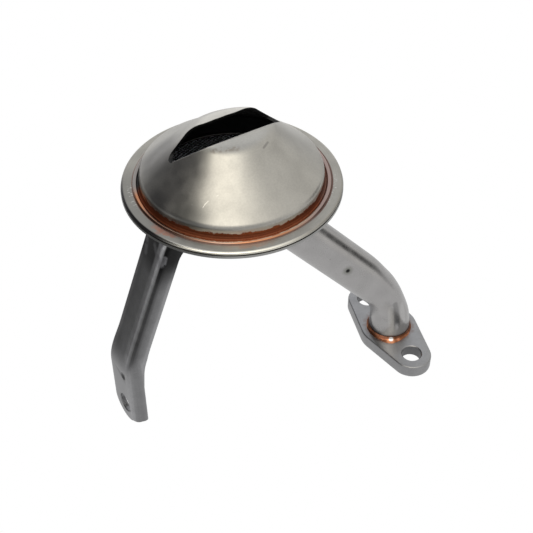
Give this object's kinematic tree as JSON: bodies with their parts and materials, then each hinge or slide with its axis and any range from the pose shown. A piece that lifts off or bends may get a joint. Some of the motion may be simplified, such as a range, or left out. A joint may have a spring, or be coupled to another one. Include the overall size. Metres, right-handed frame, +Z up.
{
  "type": "engine oil pickup tube with strainer",
  "caption": "Brazed steel oil pickup: a slotted bell strainer with a wire screen on a bent tube, with a two-bolt flange and a support bracket.",
  "frame": {"origin": "under the middle of the whole piece, on the surface that it stands on", "axes": "+Z up, along the foot of the tube and the axis of the strainer head; X nearly along the inlet slot, the bracket's bolt face looks to -X"},
  "size_m": [0.1382, 0.0974, 0.1313],
  "materials": {
    "cover_steel": "satin, slightly warm",
    "rim_steel": "satin with turning marks",
    "body_steel": "satin",
    "screen_wire": "fine woven wire",
    "tube_steel": "smooth satin",
    "flange_steel": "flat satin",
    "bracket_steel": "dull satin",
    "braze_copper": "bare furnace-brazed copper"
  },
  "bodies": {
    "root": {"inlet_cover": "cover_steel", "rim_ring": "rim_steel", "strainer_body": "body_steel", "screen_mesh": "screen_wire", "screen_ring": "body_steel", "pickup_tube": "tube_steel", "mounting_flange": "flange_steel", "support_bracket": "bracket_steel", "cover_braze": "braze_copper", "flange_braze": "braze_copper", "tube_braze": "braze_copper", "bracket_braze": "braze_copper"}
  },
  "joints": []
}
